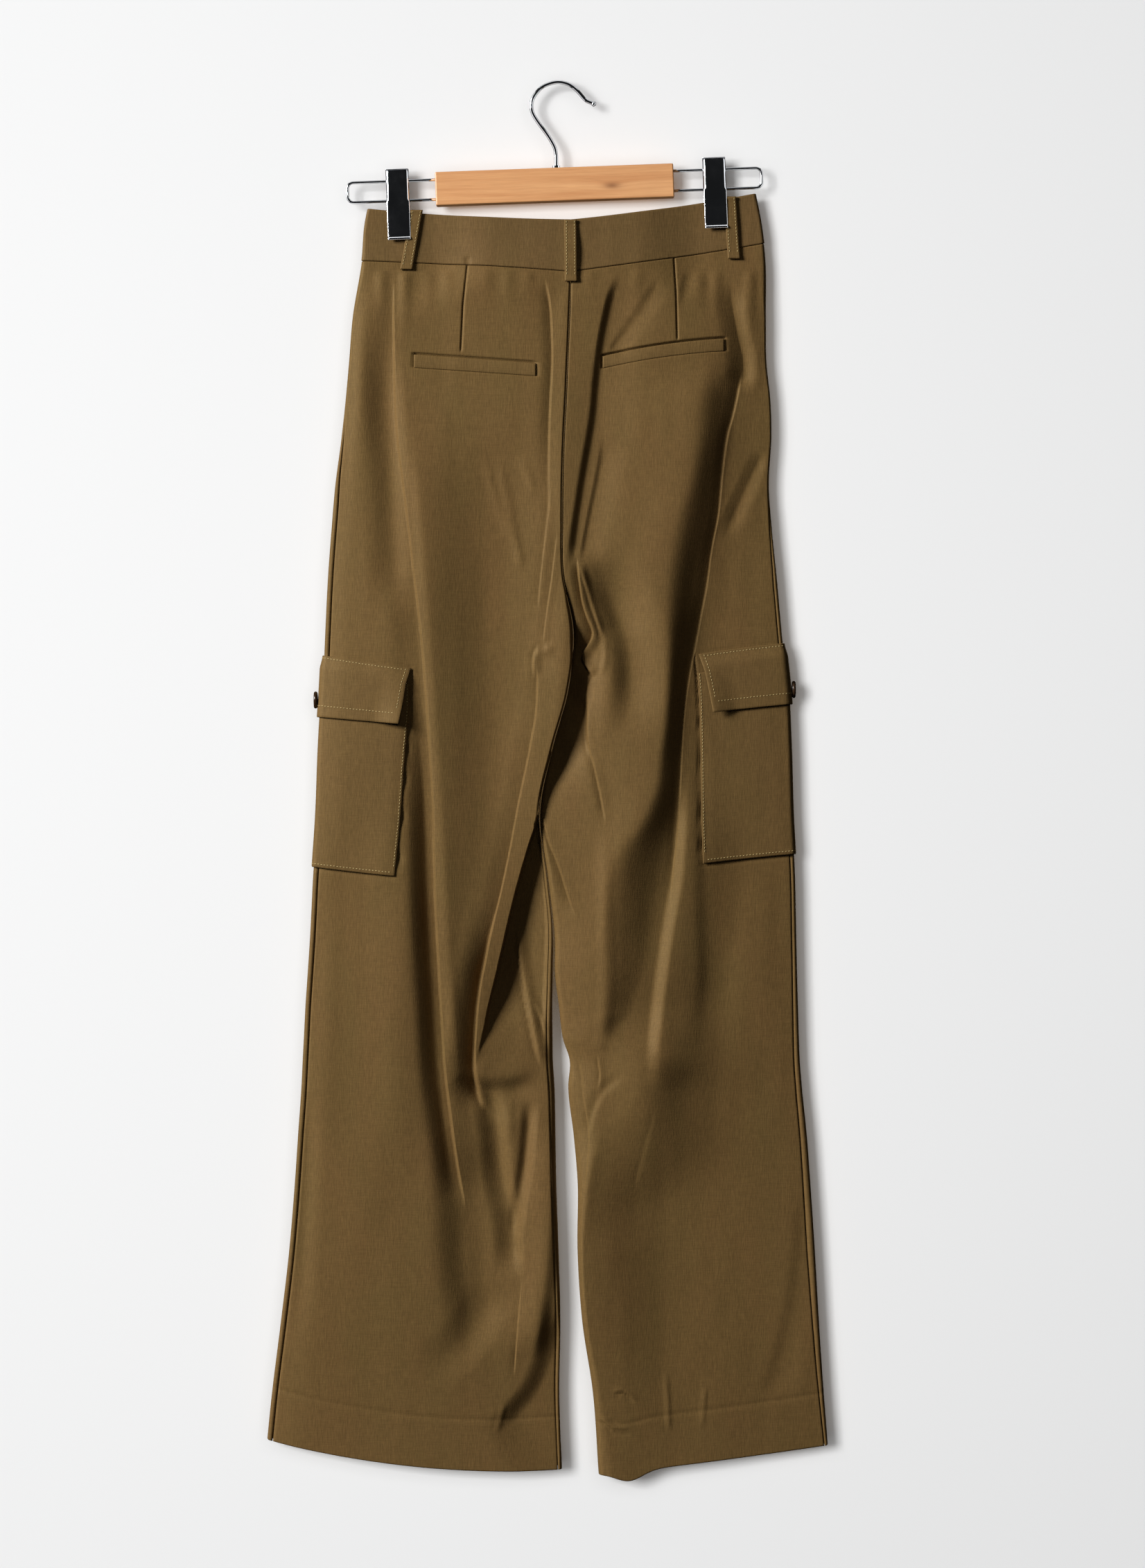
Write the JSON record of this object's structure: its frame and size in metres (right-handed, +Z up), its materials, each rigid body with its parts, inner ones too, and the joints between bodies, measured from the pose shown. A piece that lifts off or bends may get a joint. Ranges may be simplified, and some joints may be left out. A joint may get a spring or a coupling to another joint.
{
  "type": "cargo pants on a clip hanger",
  "caption": "Wide-leg twill cargo pants with flapped side pockets, hung flat by the waistband from a wood and chrome clip hanger.",
  "frame": {"origin": "bearing point at the top inside the hanger's hook", "axes": "+Z up, -Y towards the viewer of the seat side, +Y the fly side, +X to the right as the seat side is seen"},
  "size_m": [0.4798, 0.0489, 1.193],
  "materials": {
    "twill": "olive-brown twill with a soft sheen and fine vertical slubs",
    "twill_band": "the same twill, pressed flat over stiffening",
    "twill_trim": "the same twill in pockets, flaps, welts and loops, edge-stitched",
    "horn": "dark horn-look button",
    "wood": "smooth light orange-tan hardwood under thin lacquer",
    "chrome": "bright plating on steel wire and strip"
  },
  "bodies": {
    "root": {"back_panel_left": "twill", "back_panel_right": "twill", "belt_loop_back_left": "twill_trim", "belt_loop_back_right": "twill_trim", "belt_loop_centre_back": "twill_trim", "belt_loop_front_left": "twill_trim", "belt_loop_front_right": "twill_trim", "cargo_flap_left": "twill_trim", "cargo_flap_right": "twill_trim", "cargo_pocket_left": "twill_trim", "cargo_pocket_right": "twill_trim", "clip_back_jaw_left": "chrome", "clip_back_jaw_right": "chrome", "clip_front_jaw_left": "chrome", "clip_front_jaw_right": "chrome", "flap_button_left": "horn", "flap_button_right": "horn", "fly_strip": "twill_trim", "front_panel_left": "twill", "front_panel_right": "twill", "hanger_bar": "wood", "hook": "chrome", "hook_ferrule": "chrome", "seat_welt_left": "twill_trim", "seat_welt_right": "twill_trim", "waist_button": "horn", "waistband_left": "twill_band", "waistband_right": "twill_band", "wire_loop_left": "chrome", "wire_loop_right": "chrome"}
  },
  "joints": []
}
